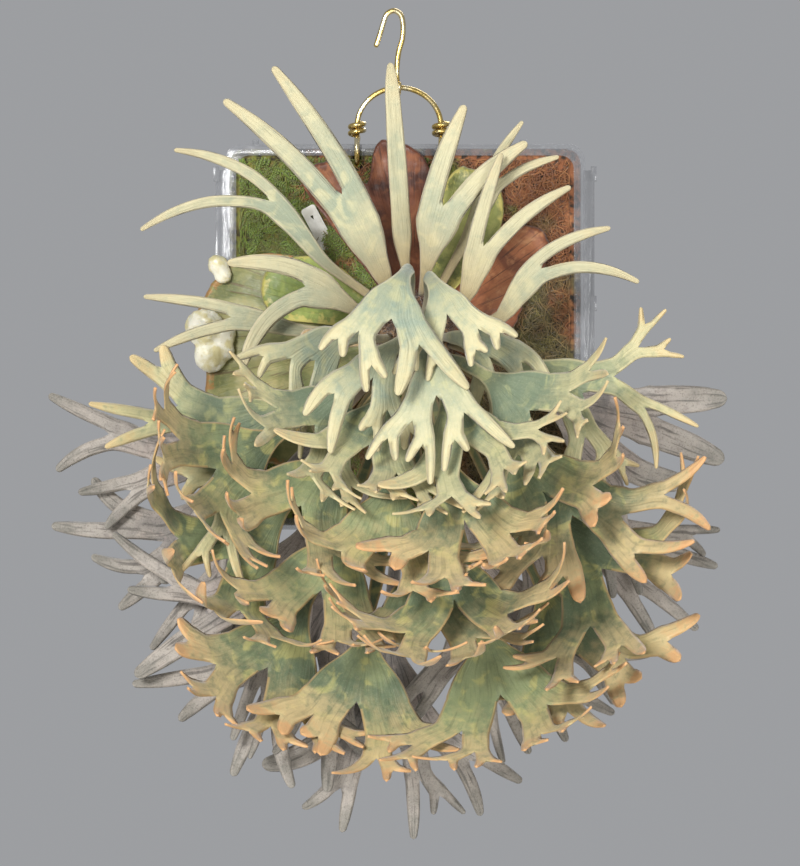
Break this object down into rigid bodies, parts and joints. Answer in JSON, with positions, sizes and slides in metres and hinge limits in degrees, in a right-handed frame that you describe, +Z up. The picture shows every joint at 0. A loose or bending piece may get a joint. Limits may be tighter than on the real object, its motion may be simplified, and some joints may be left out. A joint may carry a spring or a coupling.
{
  "type": "mounted staghorn fern",
  "caption": "Staghorn fern in a moss-filled clear plastic tray, hung from a rail by a wire bail and hook: tiers of forked antler fronds round a crown, with shield fronds over the moss.",
  "frame": {"origin": "the point inside the top of the wire hook that rests on the rail it hangs from", "axes": "+Z up, +Y towards the wall behind the tray, -Y towards the viewer, +X to the viewer's right"},
  "size_m": [0.3458, 0.2319, 0.427],
  "materials": {
    "clear_plastic": "clear, glossy, thin vacuum-formed sheet",
    "gold_wire": "polished gold-coloured wire",
    "rhizome": "matte, scaly and fibrous",
    "moss": "matte long-strand moss, olive on the left and rust brown on the right",
    "brown_shield": "dry, papery, matte",
    "green_shield": "satin leaf with brown streaks",
    "new_growth": "waxy, downy white",
    "label": "bare matte plastic",
    "old_frond": "grey-brown, dusty and speckled",
    "green_frond": "grey-green felted leaf with tan tips",
    "young_frond": "pale green, downy leaf",
    "upright_frond": "pale cream green, downy leaf"
  },
  "bodies": {
    "root": {"tray": "clear_plastic", "wire_bail": "gold_wire", "wire_hook": "gold_wire", "rhizome": "rhizome", "moss_pad": "moss", "shield_brown_top": "brown_shield", "shield_brown_right": "brown_shield", "shield_green_right": "green_shield", "shield_green_left": "green_shield", "shield_green_young": "green_shield", "new_growth_large": "new_growth", "new_growth_small": "new_growth", "plant_label": "label", "frond_bud": "young_frond", "frond_old_1": "old_frond", "frond_old_2": "old_frond", "frond_old_3": "old_frond", "frond_old_4": "old_frond", "frond_old_5": "old_frond", "frond_old_6": "old_frond", "frond_old_7": "old_frond", "frond_old_8": "old_frond", "frond_low_1": "green_frond", "frond_low_2": "green_frond", "frond_low_3": "green_frond", "frond_low_4": "green_frond", "frond_under_1": "green_frond", "frond_under_2": "green_frond", "frond_under_3": "green_frond", "frond_under_4": "green_frond", "frond_under_5": "green_frond", "frond_middle_1": "green_frond", "frond_middle_2": "green_frond", "frond_middle_3": "green_frond", "frond_middle_4": "green_frond", "frond_middle_5": "green_frond", "frond_middle_6": "green_frond", "frond_upper_1": "green_frond", "frond_upper_2": "green_frond", "frond_upper_3": "green_frond", "frond_upper_4": "green_frond", "frond_upper_5": "green_frond", "frond_upper_6": "green_frond", "frond_young_1": "young_frond", "frond_young_2": "young_frond", "frond_young_3": "young_frond", "frond_young_4": "young_frond", "frond_young_5": "young_frond", "frond_young_6": "young_frond", "frond_upright_1": "upright_frond", "frond_upright_2": "upright_frond", "frond_upright_3": "upright_frond", "frond_upright_4": "upright_frond", "frond_upright_5": "upright_frond", "frond_upright_6": "upright_frond", "frond_upright_7": "upright_frond", "frond_upright_8": "upright_frond", "frond_upright_9": "upright_frond"}
  },
  "joints": []
}
